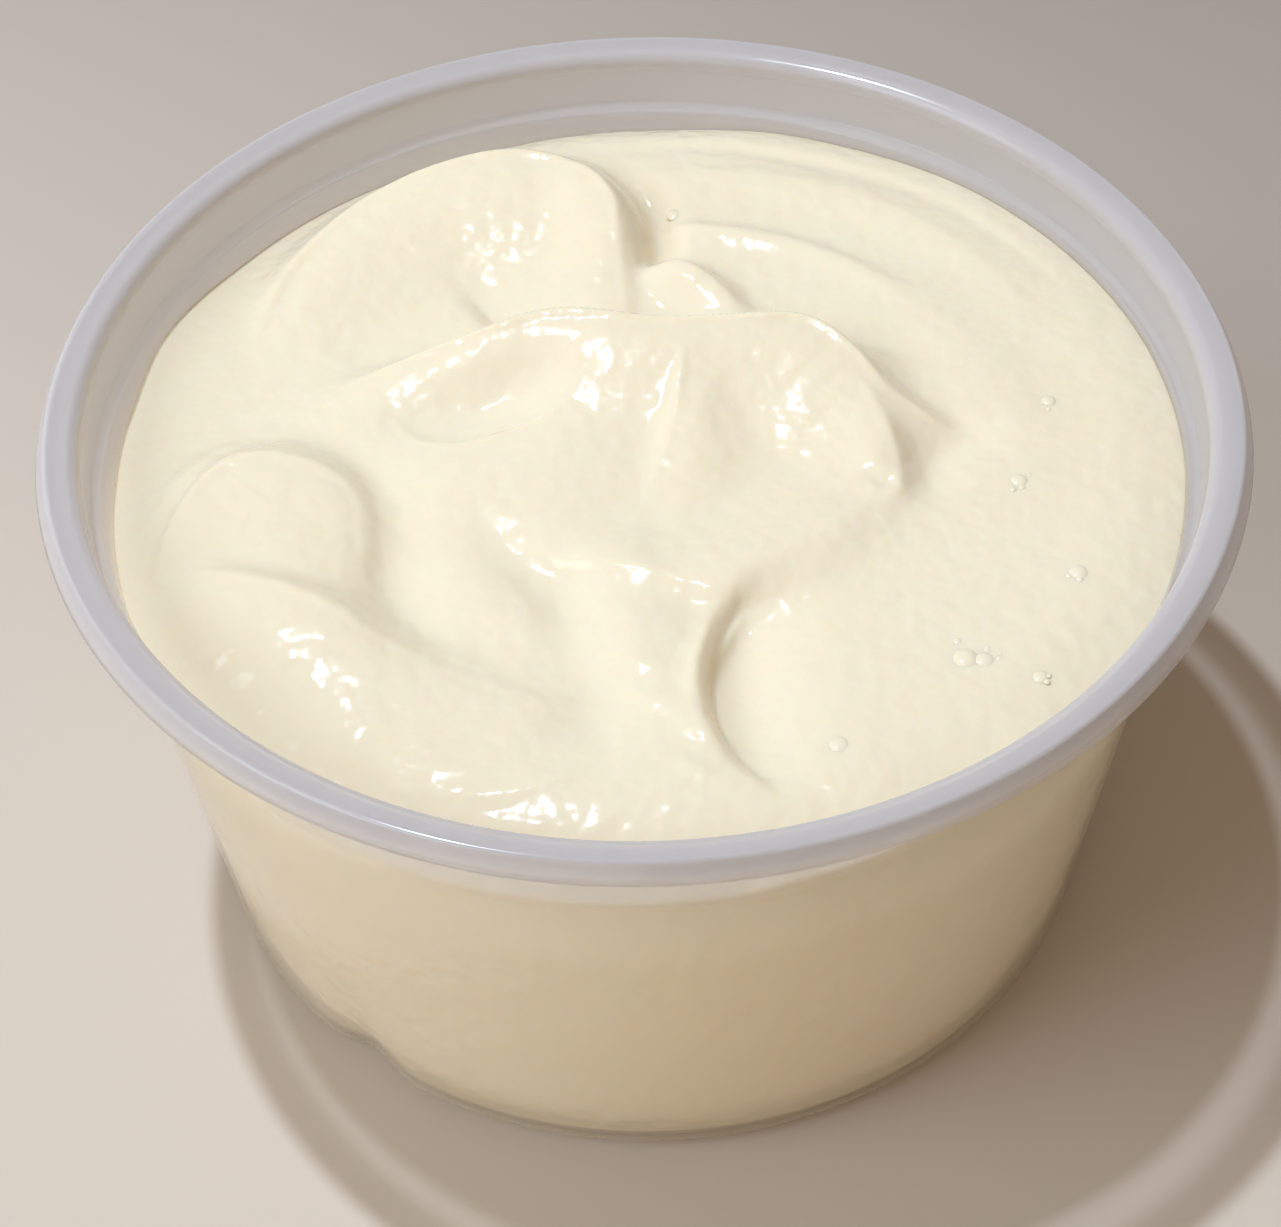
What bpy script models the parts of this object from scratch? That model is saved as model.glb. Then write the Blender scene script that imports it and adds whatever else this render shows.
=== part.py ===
"""Portion cup of sour cream: a thin translucent plastic cup, filled with cream that a spoon left in folds.

Sizes are in millimetres and MM turns them into metres. The origin is the middle of the base, +Z is up,
and the side that faces -Y is the one with the small dent at its foot, on the left.
"""

import math
from collections import namedtuple

import bmesh
import bpy
import numpy as np

MM = 0.001
OBJECT_NAME = "sour_cream_tub"

# Cup
RIM_RADIUS = 37.25
CUP_HEIGHT = 37.9
SHEET = 0.4
FOOT_RADIUS = 29.3
WALL_DRAFT = math.radians(8.0)
HEEL_RADIUS = 1.3
LEDGE_HEIGHT = 33.9
LEDGE_STEP = 0.65
LEDGE_RISE = 0.6
LIP_INNER_RADIUS = 34.6
LIP_DROP = 0.9
LIP_FALL = 0.15
LIP_TOP_RADIUS = 35.5
ROLL_RADIUS = 0.8
SKIRT_DROP = 1.35
TURN_STEPS = 72
ARC_STEPS = 3
FOOT_ROWS = (3.0, 5.2, 9.0)

# Dent in the foot, where the cup was knocked
DENT_TURN = math.radians(-130.0)
DENT_HEIGHT = 0.6
DENT_SIZE = 2.3
DENT_DEPTH = 1.1

# Cream
CUP_GAP = 0.3
GRID_CELLS = 62
LEVEL = 32.7
LEVEL_TO_RIGHT = 0.022
LEVEL_TO_BACK = 0.015
FOLD_BLEND = 0.5
FOLD_MIX = 4
FLANK_CHANGE = 1.2
CREST_ROUNDING = 0.5
CURVE_STEP = 0.35
CREAM_ROWS = (5.2, 1.9)
CREAM_BASE_INSET = 1.1

# Where the cream meets the wall: turn from +X in degrees, depth below the rim, and width of the band in which
# the surface bends down to it
WALL_CONTACT = (
    (0, 4.9, 5.0), (20, 4.8, 5.0), (45, 4.8, 5.0), (70, 5.2, 4.5), (90, 5.8, 4.5), (115, 6.1, 4.5),
    (140, 6.0, 5.0), (158, 5.4, 5.5), (170, 6.3, 5.5), (183, 6.8, 5.5), (205, 7.4, 6.5), (228, 8.5, 7.0),
    (245, 8.2, 7.0), (262, 8.0, 7.0), (277, 7.8, 7.0), (287, 7.2, 7.0), (297, 6.7, 6.5), (315, 5.8, 6.0),
    (342, 5.4, 5.5),
)

# A fold is a crest or a furrow along a smooth line of (x, y, height) points. Its flanks fall away over a
# width on the left and one on the right of the line, and a low power leaves a sharp top and a long foot.
Fold = namedtuple("Fold", "left left_power right right_power line")

CRESTS = {
    "mound_body": Fold(6.0, 2.0, 6.0, 2.0, (
        (-24.2, -4.4, 1.7), (-21.0, -9.6, 1.6),
    )),
    "back_left_mound": Fold(2.4, 2.0, 7.6, 2.2, (
        (-24.5, 12.5, 0.6), (-22.4, 18.3, 1.5), (-17.0, 24.2, 2.3), (-9.2, 26.5, 3.0), (-4.6, 25.4, 3.0),
    )),
    "mound_shoulder": Fold(2.4, 2.0, 5.0, 2.0, (
        (-6.5, 26.2, 2.7), (-3.8, 24.6, 3.2), (-2.0, 21.8, 3.1), (-1.6, 18.6, 2.2), (-1.4, 15.4, 1.3),
        (-1.1, 12.6, 0.7),
    )),
    "small_knob": Fold(1.6, 2.0, 2.6, 2.0, (
        (0.9, 16.6, 1.4), (2.7, 15.9, 2.1), (4.5, 14.5, 1.8), (6.0, 12.6, 1.2), (7.2, 10.6, 0.4),
    )),
    "main_ridge": Fold(1.8, 2.0, 7.5, 1.7, (
        (-20.5, 6.6, 0.3), (-17.3, 6.8, 1.3), (-13.5, 7.7, 2.4), (-8.9, 8.7, 3.5), (-5.4, 9.3, 4.1),
        (1.2, 8.3, 3.9), (6.3, 8.3, 3.8), (10.1, 8.2, 3.6), (12.7, 6.3, 3.0), (15.0, 3.4, 2.0),
        (17.6, 1.4, 1.1), (20.3, 0.2, 0.0),
    )),
    "ridge_spur": Fold(6.0, 2.0, 2.6, 1.7, (
        (3.0, 7.2, 3.7), (2.8, 5.2, 3.2), (2.4, 2.6, 2.5), (1.8, 0.0, 1.8), (1.0, -2.6, 1.05),
        (0.2, -4.8, 0.4),
    )),
    "bowl_rim": Fold(9.0, 2.0, 1.9, 2.0, (
        (-3.0, 4.2, 2.4), (-6.1, 2.0, 1.9), (-9.6, 0.6, 1.6), (-12.7, 0.4, 1.4), (-15.2, 1.9, 1.3),
        (-16.8, 5.2, 0.9),
    )),
    "right_arm": Fold(2.0, 2.0, 4.5, 2.0, (
        (13.2, 4.4, 2.3), (14.5, 1.2, 2.05), (15.3, -1.4, 1.85), (15.4, -3.4, 1.5), (14.8, -5.4, 0.6),
    )),
    "front_left_mound": Fold(3.2, 2.0, 8.0, 2.2, (
        (-29.4, -8.0, 0.5), (-28.4, -4.6, 1.3), (-26.6, -1.8, 1.9), (-23.6, -0.7, 2.0), (-20.4, -1.6, 1.8),
        (-18.1, -3.8, 1.5), (-17.6, -8.0, 1.2),
    )),
    "front_ridge": Fold(3.0, 2.0, 6.0, 2.0, (
        (-27.4, -9.8, 1.4), (-23.6, -11.2, 2.0), (-19.8, -12.9, 2.0), (-15.6, -15.8, 1.2),
        (-10.4, -18.6, 0.7), (-6.0, -21.2, 0.4),
    )),
    "inner_lobe": Fold(3.4, 2.0, 5.0, 2.0, (
        (-16.0, -2.4, 0.4), (-12.6, -6.0, 0.6), (-9.2, -9.8, 0.6), (-7.0, -13.0, 0.3),
    )),
    "tongue": Fold(4.0, 3.0, 3.6, 3.0, (
        (-2.0, -9.0, 0.9), (-0.8, -14.0, 1.0), (0.4, -20.0, 0.6), (1.6, -26.0, 0.1),
    )),
    "tongue_lip": Fold(0.7, 2.0, 1.8, 2.0, (
        (5.4, -13.6, 0.7), (3.9, -16.1, 1.2), (3.0, -19.2, 1.0), (3.3, -22.2, 0.7), (4.6, -24.6, 0.2),
    )),
    "foot_edge": Fold(3.6, 2.0, 6.0, 2.0, (
        (14.6, -3.8, 0.5), (12.4, -6.2, 1.2), (9.4, -8.6, 1.4), (6.2, -10.2, 1.2), (4.0, -11.4, 0.8),
    )),
}

# Low folds that ride on the others
RISES = {
    "tongue_crease": Fold(3.5, 2.0, 1.0, 2.0, (
        (-7.6, -7.3, 0.0), (-5.6, -8.5, 0.4), (-0.5, -10.4, 0.55), (3.1, -11.8, 0.55), (5.2, -12.8, 0.3),
    )),
    "back_smear": Fold(1.2, 2.0, 2.0, 2.0, (
        (1.0, 26.8, 0.2), (8.0, 26.0, 0.35), (15.5, 23.0, 0.35), (22.0, 17.0, 0.25), (25.5, 10.0, 0.1),
    )),
    "inner_smear": Fold(0.8, 2.0, 1.2, 2.0, (
        (1.0, 21.4, 0.2), (5.0, 20.6, 0.5), (9.0, 19.4, 0.5), (13.0, 17.2, 0.3), (17.0, 13.7, 0.1),
    )),
}

FURROWS = {
    "valley_foot": Fold(2.6, 2.0, 2.8, 2.0, (
        (-15.6, -10.0, 0.2), (-14.0, -14.0, 0.45), (-10.7, -16.0, 0.5), (-6.4, -17.6, 0.5),
        (-3.2, -19.4, 0.6), (-3.6, -22.4, 0.5),
    )),
    "mound_crease": Fold(1.2, 2.0, 0.9, 2.0, (
        (-1.4, 26.6, 0.2), (0.6, 24.2, 0.9), (1.2, 21.4, 1.3), (1.2, 18.8, 1.0), (0.8, 17.2, 0.3),
    )),
    "mound_dimple": Fold(2.4, 2.0, 0.9, 2.0, (
        (-12.8, 18.4, 0.0), (-11.4, 16.4, 0.25), (-9.8, 13.8, 0.5), (-8.2, 11.6, 0.5),
    )),
    "bowl": Fold(2.6, 2.0, 2.4, 2.0, (
        (-15.0, 3.6, 0.5), (-11.4, 3.8, 1.2), (-8.0, 4.8, 1.3), (-5.6, 6.0, 0.5),
    )),
    "ridge_hollow": Fold(2.6, 2.0, 2.6, 2.0, (
        (6.0, 5.6, 0.1), (6.4, 2.6, 0.2), (6.6, -0.6, 0.15),
    )),
    "arm_hollow": Fold(2.0, 2.0, 2.2, 2.0, (
        (17.0, -3.6, 0.5), (18.0, -1.2, 1.2), (19.8, -0.2, 0.7), (21.6, 0.4, 0.1),
    )),
    "winding_valley": Fold(3.2, 2.0, 1.8, 2.0, (
        (-22.0, 1.8, 0.1), (-18.6, -0.4, 0.3), (-16.4, -3.4, 0.6), (-15.8, -7.4, 0.7), (-15.2, -11.0, 0.5),
        (-14.4, -13.6, 0.1),
    )),
    "lobe_valley": Fold(2.4, 2.0, 1.8, 2.0, (
        (-11.0, -6.0, 0.05), (-9.4, -7.6, 0.25), (-7.2, -9.8, 0.45), (-5.2, -12.2, 0.6), (-4.4, -15.8, 0.3),
    )),
    "crescent": Fold(0.8, 2.0, 3.8, 2.0, (
        (6.9, -26.8, 0.0), (5.3, -24.2, 1.0), (4.3, -21.4, 1.6), (4.0, -18.8, 1.8), (4.4, -16.1, 1.7),
        (5.3, -13.9, 1.1), (7.0, -12.8, 0.2),
    )),
}


def smoothstep(value):
    """Runs from 0 to 1 with level ends."""
    value = np.clip(value, 0.0, 1.0)
    return value * value * (3.0 - 2.0 * value)


def wall_radius(height):
    """Inside radius of the plain wall, below the stacking ledge."""
    return FOOT_RADIUS - SHEET + height * math.tan(WALL_DRAFT)


def arc(centre, radii, start, end, steps):
    """Points from one angle to another round an ellipse, in degrees, both ends included."""
    points = []
    for step in range(steps + 1):
        angle = math.radians(start + (end - start) * step / steps)
        points.append((centre[0] + radii[0] * math.cos(angle), centre[1] + radii[1] * math.sin(angle)))
    return points


def cup_profile():
    """Radius and height along the inner face, from the axis up the wall, over the rim and down its skirt."""
    heel_height = SHEET + HEEL_RADIUS
    heel_centre = (wall_radius(heel_height) - HEEL_RADIUS / math.cos(WALL_DRAFT), heel_height)
    heel_end = -math.degrees(WALL_DRAFT)
    points = [(0.0, SHEET)]
    points += arc(heel_centre, (HEEL_RADIUS, HEEL_RADIUS), -90, heel_end, ARC_STEPS)
    points += [(wall_radius(height), height) for height in FOOT_ROWS]
    for step in range(ARC_STEPS + 1):
        height = LEDGE_HEIGHT + LEDGE_RISE * (step / ARC_STEPS - 0.5)
        points.append((wall_radius(height) + LEDGE_STEP * float(smoothstep(step / ARC_STEPS)), height))
    lip_width = LIP_TOP_RADIUS - LIP_INNER_RADIUS
    lip_centre = (LIP_TOP_RADIUS, CUP_HEIGHT - LIP_DROP)
    points += arc(lip_centre, (lip_width, LIP_DROP - LIP_FALL), 180, 90, ARC_STEPS)
    roll_centre = (RIM_RADIUS - ROLL_RADIUS, CUP_HEIGHT - ROLL_RADIUS)
    points += arc(roll_centre, (ROLL_RADIUS, ROLL_RADIUS), 90, 0, ARC_STEPS)
    points.append((RIM_RADIUS, CUP_HEIGHT - SKIRT_DROP))
    return points


def dented(points):
    """Pushes points near the dent towards the axis, most at its middle."""
    points = np.array(points, float)
    turned = np.hypot(points[:, 0], points[:, 1])
    centre = FOOT_RADIUS * np.array([math.cos(DENT_TURN), math.sin(DENT_TURN)])
    away = np.hypot(points[:, 0] - centre[0], points[:, 1] - centre[1])
    away = np.hypot(away, points[:, 2] - DENT_HEIGHT)
    push = DENT_DEPTH * np.exp(-((away / DENT_SIZE) ** 2))
    scale = 1.0 - push / np.maximum(turned, FOOT_RADIUS / 2)
    points[:, 0] *= scale
    points[:, 1] *= scale
    return points


def curve_points(line):
    """A smooth curve through a fold's points, each with its height, in even small steps of each span."""
    points = np.array(line, float)
    points = np.vstack([2 * points[0] - points[1], points, 2 * points[-1] - points[-2]])
    found = []
    for before, start, end, after in zip(points[:-3], points[1:-2], points[2:-1], points[3:]):
        steps = math.ceil(np.hypot(*(end - start)[:2]) / CURVE_STEP)
        for t in np.arange(steps) / steps:
            found.append(0.5 * (
                2 * start + (end - before) * t + (2 * before - 5 * start + 4 * end - after) * t**2
                + (3 * start - before - 3 * end + after) * t**3
            ))
    found.append(points[-2])
    return np.array(found)


def stroke_spread(power):
    """Length, in widths, over which neighbouring points of a line add up at one place."""
    return 2 * math.gamma(1 + 1 / power) / FOLD_MIX ** (1 / power)


def fold_height(fold, x, y):
    """Height of one fold over each place, as a power mean of soft humps strung along its line."""
    curve = curve_points(fold.line)
    total = np.zeros(x.shape)
    for start, end in zip(curve[:-1], curve[1:]):
        run = end[:2] - start[:2]
        step = np.hypot(*run)
        middle = (start + end) / 2
        off_x = x - middle[0]
        off_y = y - middle[1]
        distance = np.hypot(off_x, off_y)
        to_left = (run[0] * off_y - run[1] * off_x) / (step * (distance + CREST_ROUNDING))
        share = smoothstep(0.5 + FLANK_CHANGE * to_left)
        width = fold.right + (fold.left - fold.right) * share
        power = fold.right_power + (fold.left_power - fold.right_power) * share
        spread = stroke_spread(fold.right_power) * (1 - share) + stroke_spread(fold.left_power) * share
        hump = max(middle[2], 0.0) * np.exp(-((distance / width) ** power))
        total += hump**FOLD_MIX * step / (width * spread)
    return total ** (1 / FOLD_MIX)


def blended_highest(first, second):
    """The higher of two surfaces, with a soft join where they cross."""
    near = np.maximum(FOLD_BLEND - np.abs(first - second), 0.0) / FOLD_BLEND
    return np.maximum(first, second) + near**2 * FOLD_BLEND / 4


def round_wall(turn, column):
    """One column of WALL_CONTACT at turns in radians from +X, eased from place to place."""
    turns = np.radians([row[0] for row in WALL_CONTACT])
    values = np.array([row[column] for row in WALL_CONTACT])
    turn = np.mod(turn, 2 * math.pi)
    after = np.searchsorted(turns, turn, side="right")
    first = (after - 1) % len(turns)
    second = after % len(turns)
    span = np.mod(turns[second] - turns[first], 2 * math.pi)
    share = smoothstep(np.mod(turn - turns[first], 2 * math.pi) / span)
    return values[first] + (values[second] - values[first]) * share


def contact_height(turn):
    """Height at which the cream meets the wall."""
    return CUP_HEIGHT - round_wall(turn, 1)


def cream_height(x, y):
    """Height of the cream's surface over each place."""
    folds = np.zeros(x.shape)
    for fold in CRESTS.values():
        folds = blended_highest(folds, fold_height(fold, x, y))
    for fold in RISES.values():
        folds = folds + fold_height(fold, x, y)
    for fold in FURROWS.values():
        folds = folds - fold_height(fold, x, y)
    inside = LEVEL + LEVEL_TO_RIGHT * x + LEVEL_TO_BACK * y + folds
    turn = np.arctan2(y, x)
    contact = contact_height(turn)
    from_wall = wall_radius(contact) - CUP_GAP - np.hypot(x, y)
    share = np.clip(from_wall / round_wall(turn, 2), 0.0, 1.0)
    return contact + (inside - contact) * share * (2.0 - share)


def square_to_disc(across, along):
    """Maps the square from -1 to 1 on to the unit disc with cells of nearly even size."""
    flat = np.abs(across) > np.abs(along)
    radius = np.where(flat, across, along)
    other = np.where(flat, along, across)
    share = other / np.where(np.abs(radius) < 1e-9, 1.0, radius)
    turn = np.where(flat, share * math.pi / 4, math.pi / 2 - share * math.pi / 4)
    return radius * np.cos(turn), radius * np.sin(turn)


def principled(name, colour, roughness, transmission=0.0):
    material = bpy.data.materials.new(name)
    material.use_nodes = True
    shader = material.node_tree.nodes["Principled BSDF"]
    shader.inputs["Base Color"].default_value = (*colour, 1.0)
    shader.inputs["Roughness"].default_value = roughness
    shader.inputs["Transmission Weight"].default_value = transmission
    shader.inputs["Metallic"].default_value = 0.0
    return material


def place_points(mesh, points):
    """Gives the mesh's points new places, in millimetres."""
    flat = (np.asarray(points) * MM).astype(np.float32).ravel()
    mesh.vertices.foreach_set("co", flat)
    mesh.update()


def points_of(mesh):
    flat = np.empty(len(mesh.vertices) * 3, np.float32)
    mesh.vertices.foreach_get("co", flat)
    return flat.reshape(-1, 3).astype(float) / MM


def make_cup(collection):
    """The cup: its inner face turned round the axis, dented at the foot, and given the sheet's thickness."""
    profile = bpy.data.meshes.new("cup_profile")
    points = [(radius * MM, 0.0, height * MM) for radius, height in cup_profile()]
    profile.from_pydata(points, [(i, i + 1) for i in range(len(points) - 1)], [])
    turned = bpy.data.objects.new("cup_profile", profile)
    collection.objects.link(turned)
    screw = turned.modifiers.new("Turn", "SCREW")
    screw.steps = TURN_STEPS
    screw.render_steps = TURN_STEPS
    screw.use_merge_vertices = True
    screw.merge_threshold = 0.00005
    graph = bpy.context.evaluated_depsgraph_get()
    mesh = bpy.data.meshes.new_from_object(turned.evaluated_get(graph))
    bpy.data.objects.remove(turned)
    bpy.data.meshes.remove(profile)

    mesh.name = "cup"
    place_points(mesh, dented(points_of(mesh)))
    mesh.shade_smooth()
    mesh.materials.append(principled("translucent_plastic", (0.83, 0.81, 0.84), 0.3, 0.6))
    cup = bpy.data.objects.new("cup", mesh)
    collection.objects.link(cup)
    shell = cup.modifiers.new("Sheet", "SOLIDIFY")
    shell.thickness = SHEET * MM
    shell.offset = -1.0
    shell.use_even_offset = True


def make_cream(collection):
    """The cream: a disc of even cells raised into folds, closed by a side along the wall and a flat base."""
    shape = bmesh.new()
    bmesh.ops.create_grid(shape, x_segments=GRID_CELLS, y_segments=GRID_CELLS, size=1.0)
    shape.verts.ensure_lookup_table()
    square = np.array([vert.co[:] for vert in shape.verts])
    x, y = square_to_disc(square[:, 0], square[:, 1])
    edge_radius = wall_radius(contact_height(np.arctan2(y, x))) - CUP_GAP
    x = x * edge_radius
    y = y * edge_radius
    for vert, place in zip(shape.verts, np.column_stack([x, y, cream_height(x, y)])):
        vert.co = place

    rim = [edge for edge in shape.edges if edge.is_boundary]
    rows = [(wall_radius(height) - CUP_GAP, height) for height in CREAM_ROWS]
    base_height = SHEET + CUP_GAP
    rows.append((wall_radius(base_height) - CUP_GAP - CREAM_BASE_INSET, base_height))
    for radius, height in rows:
        made = bmesh.ops.extrude_edge_only(shape, edges=rim)["geom"]
        rim = [item for item in made if isinstance(item, bmesh.types.BMEdge)]
        for vert in [item for item in made if isinstance(item, bmesh.types.BMVert)]:
            turn = math.atan2(vert.co.y, vert.co.x)
            vert.co = (radius * math.cos(turn), radius * math.sin(turn), height)
    bmesh.ops.contextual_create(shape, geom=rim)
    bmesh.ops.recalc_face_normals(shape, faces=shape.faces)

    mesh = bpy.data.meshes.new("sour_cream")
    shape.to_mesh(mesh)
    shape.free()
    points = np.array([vert.co[:] for vert in mesh.vertices])
    place_points(mesh, dented(points))
    mesh.shade_smooth()
    mesh.materials.append(principled("cultured_cream", (0.90, 0.85, 0.69), 0.25))
    collection.objects.link(bpy.data.objects.new("sour_cream", mesh))


def main():
    for thing in list(bpy.data.objects):
        bpy.data.objects.remove(thing)
    collection = bpy.data.collections.new(OBJECT_NAME)
    bpy.context.scene.collection.children.link(collection)
    make_cup(collection)
    make_cream(collection)


main()
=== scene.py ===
"""Portion cup of sour cream: a thin frosted plastic cup filled with cream that a spoon left in folds.

Sizes are in millimetres and MM turns them into metres. The origin is the middle of the base and +Z is up.
"""

import math
from collections import namedtuple

import bmesh
import bpy
import numpy as np
from mathutils import Matrix, Vector


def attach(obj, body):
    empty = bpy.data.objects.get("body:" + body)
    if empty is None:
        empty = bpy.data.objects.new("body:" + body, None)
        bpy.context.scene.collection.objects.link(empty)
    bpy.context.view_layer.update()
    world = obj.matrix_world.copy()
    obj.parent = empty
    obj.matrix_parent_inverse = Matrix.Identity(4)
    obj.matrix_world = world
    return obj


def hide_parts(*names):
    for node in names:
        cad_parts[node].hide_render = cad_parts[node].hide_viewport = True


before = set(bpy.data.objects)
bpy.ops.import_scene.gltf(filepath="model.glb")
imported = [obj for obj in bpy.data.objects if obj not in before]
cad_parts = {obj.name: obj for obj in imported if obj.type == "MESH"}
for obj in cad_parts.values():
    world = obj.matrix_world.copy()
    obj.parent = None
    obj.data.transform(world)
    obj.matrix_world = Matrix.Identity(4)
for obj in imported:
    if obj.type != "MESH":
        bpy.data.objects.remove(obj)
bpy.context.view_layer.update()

MM = 0.001
SOFT_DETAIL = 3.0

# Cup.
# One thin sheet of polypropylene drawn to a tapered cup, with a stacking ledge, a soft bead inside the mouth,
# a flat ring, and a rolled edge that turns down to a short skirt. A knock left a small dent in the foot.
RIM_RADIUS = 37.25
CUP_HEIGHT = 37.9
SHEET = 0.4
FOOT_RADIUS = 29.3
WALL_DRAFT = math.radians(8.0)
HEEL_RADIUS = 1.3
LEDGE_HEIGHT = 33.9
LEDGE_STEP = 0.65
LEDGE_RISE = 0.6
LIP_INNER_RADIUS = 34.6
LIP_DROP = 0.9
LIP_FALL = 0.15
LIP_TOP_RADIUS = 35.5
CREST_RADIUS = 0.28
CREST_OUT = 36.72
CREST_TURN = 68.0
SKIRT_BEND = ((36.82, 0.45), (36.98, 0.70), (37.14, 1.00))
SKIRT_DROP = 1.35
WALL_ROW = 0.7
TURN_STEPS = 288
ARC_STEPS = 9
MERGE_DISTANCE = 0.02
DENT_TURN = math.radians(-130.0)
DENT_HEIGHT = 0.6
DENT_SIZE = 2.3
DENT_DEPTH = 1.1
CUP_COLOUR = (0.67, 0.635, 0.62, 1.0)
# Painted glow: the next colour tints the wall cream where cream fills the cup, standing in for the cream's
# light shining through the plastic
PAINTED_CREAM_GLOW_COLOUR = (0.88, 0.78, 0.60, 1.0)
RING_COLOUR = (0.58, 0.545, 0.535, 1.0)
PLASTIC_IOR = 1.49
PLASTIC_ROUGHNESS = (0.11, 0.21)
HAZE_WAVES = 0.3
HAZE_SPAN = (0.3, 0.7)
CUP_SCATTER = (1.0, 0.95, 0.90)
CUP_SCATTER_DEPTH = 1.0

# How much light the milky plastic stops: seen face on, seen edge on, and what the empty wall and the ring
# add to that, with the height over which the wall turns from filled to empty
CLOUD_FACING = 0.10
CLOUD_EDGE = 0.4
CLOUD_BLEND = 0.35
EMPTY_CLOUD = 0.16
RING_CLOUD = 0.42
FILM_HEIGHT = 0.9

# Where the cream meets the wall: turn from +X in degrees, depth below the rim, and width of the band in which
# the surface bends down to it
WALL_CONTACT = (
    (0, 4.9, 5.0), (20, 4.8, 5.0), (45, 4.8, 5.0), (70, 5.2, 4.5), (90, 5.8, 4.5), (115, 6.1, 4.5),
    (140, 6.0, 5.0), (158, 5.4, 5.5), (170, 6.3, 5.5), (183, 6.8, 5.5), (205, 7.4, 6.5), (228, 8.5, 7.0),
    (245, 8.2, 7.0), (262, 8.0, 7.0), (277, 7.8, 7.0), (287, 7.2, 7.0), (297, 6.7, 6.5), (315, 5.8, 6.0),
    (342, 5.4, 5.5),
)


def smoothstep(value):
    """Runs from 0 to 1 with level ends."""
    value = np.clip(value, 0.0, 1.0)
    return value * value * (3.0 - 2.0 * value)


def wall_radius(height):
    """Inside radius of the plain wall, below the stacking ledge."""
    return FOOT_RADIUS - SHEET + height * math.tan(WALL_DRAFT)


def arc(centre, radii, start, end, steps):
    """Points from one angle to another round an ellipse, in degrees, both ends included."""
    points = []
    for step in range(steps + 1):
        angle = math.radians(start + (end - start) * step / steps)
        points.append((centre[0] + radii[0] * math.cos(angle), centre[1] + radii[1] * math.sin(angle)))
    return points


def cup_profile():
    """Radius and height along the inner face, from the axis up the wall, over the rim and down its skirt."""
    heel_height = SHEET + HEEL_RADIUS
    heel_centre = (wall_radius(heel_height) - HEEL_RADIUS / math.cos(WALL_DRAFT), heel_height)
    points = [(0.0, SHEET)]
    points += arc(heel_centre, (HEEL_RADIUS, HEEL_RADIUS), -90, -math.degrees(WALL_DRAFT), ARC_STEPS)
    height = heel_height + WALL_ROW
    while height < LEDGE_HEIGHT - LEDGE_RISE:
        points.append((wall_radius(height), height))
        height += WALL_ROW
    for step in range(ARC_STEPS + 1):
        height = LEDGE_HEIGHT + LEDGE_RISE * (step / ARC_STEPS - 0.5)
        points.append((wall_radius(height) + LEDGE_STEP * float(smoothstep(step / ARC_STEPS)), height))
    lip_width = LIP_TOP_RADIUS - LIP_INNER_RADIUS
    lip_centre = (LIP_TOP_RADIUS, CUP_HEIGHT - LIP_DROP)
    points += arc(lip_centre, (lip_width, LIP_DROP - LIP_FALL), 180, 90, ARC_STEPS)
    crest_centre = (CREST_OUT - CREST_RADIUS, CUP_HEIGHT - CREST_RADIUS)
    points += arc(crest_centre, (CREST_RADIUS, CREST_RADIUS), 90, 90 - CREST_TURN, ARC_STEPS)
    points += [(radius, CUP_HEIGHT - drop) for radius, drop in SKIRT_BEND]
    points.append((RIM_RADIUS, CUP_HEIGHT - SKIRT_DROP))
    return points


def dented(points):
    """Pushes points near the dent towards the axis, most at its middle."""
    points = np.array(points, float)
    turned = np.hypot(points[:, 0], points[:, 1])
    centre = FOOT_RADIUS * np.array([math.cos(DENT_TURN), math.sin(DENT_TURN)])
    away = np.hypot(points[:, 0] - centre[0], points[:, 1] - centre[1])
    away = np.hypot(away, points[:, 2] - DENT_HEIGHT)
    push = DENT_DEPTH * np.exp(-((away / DENT_SIZE) ** 2))
    scale = 1.0 - push / np.maximum(turned, FOOT_RADIUS / 2)
    points[:, 0] *= scale
    points[:, 1] *= scale
    return points


def round_wall(turn, column):
    """One column of WALL_CONTACT at turns in radians from +X, eased from place to place."""
    turns = np.radians([row[0] for row in WALL_CONTACT])
    values = np.array([row[column] for row in WALL_CONTACT])
    turn = np.mod(turn, 2 * math.pi)
    after = np.searchsorted(turns, turn, side="right")
    first = (after - 1) % len(turns)
    second = after % len(turns)
    span = np.mod(turns[second] - turns[first], 2 * math.pi)
    share = smoothstep(np.mod(turn - turns[first], 2 * math.pi) / span)
    return values[first] + (values[second] - values[first]) * share


def contact_height(turn):
    """Height at which the cream meets the wall."""
    return CUP_HEIGHT - round_wall(turn, 1)


def place_points(mesh, points):
    """Gives the mesh's points new places, in millimetres."""
    mesh.vertices.foreach_set("co", (np.asarray(points) * MM).astype(np.float32).ravel())
    mesh.update()


def points_of(mesh):
    """Places of the mesh's points, in millimetres."""
    flat = np.empty(len(mesh.vertices) * 3, np.float32)
    mesh.vertices.foreach_get("co", flat)
    return flat.reshape(-1, 3).astype(float) / MM


def add_piece(name, mesh, material):
    """A shown piece at the origin, smooth, in one material."""
    mesh.name = name
    mesh.shade_smooth()
    mesh.materials.clear()
    mesh.materials.append(material)
    piece = bpy.data.objects.new(name, mesh)
    bpy.context.scene.collection.objects.link(piece)
    return piece


def evaluated_mesh(piece):
    """A plain mesh of the piece as its modifiers leave it."""
    return bpy.data.meshes.new_from_object(piece.evaluated_get(bpy.context.evaluated_depsgraph_get()))


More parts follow.
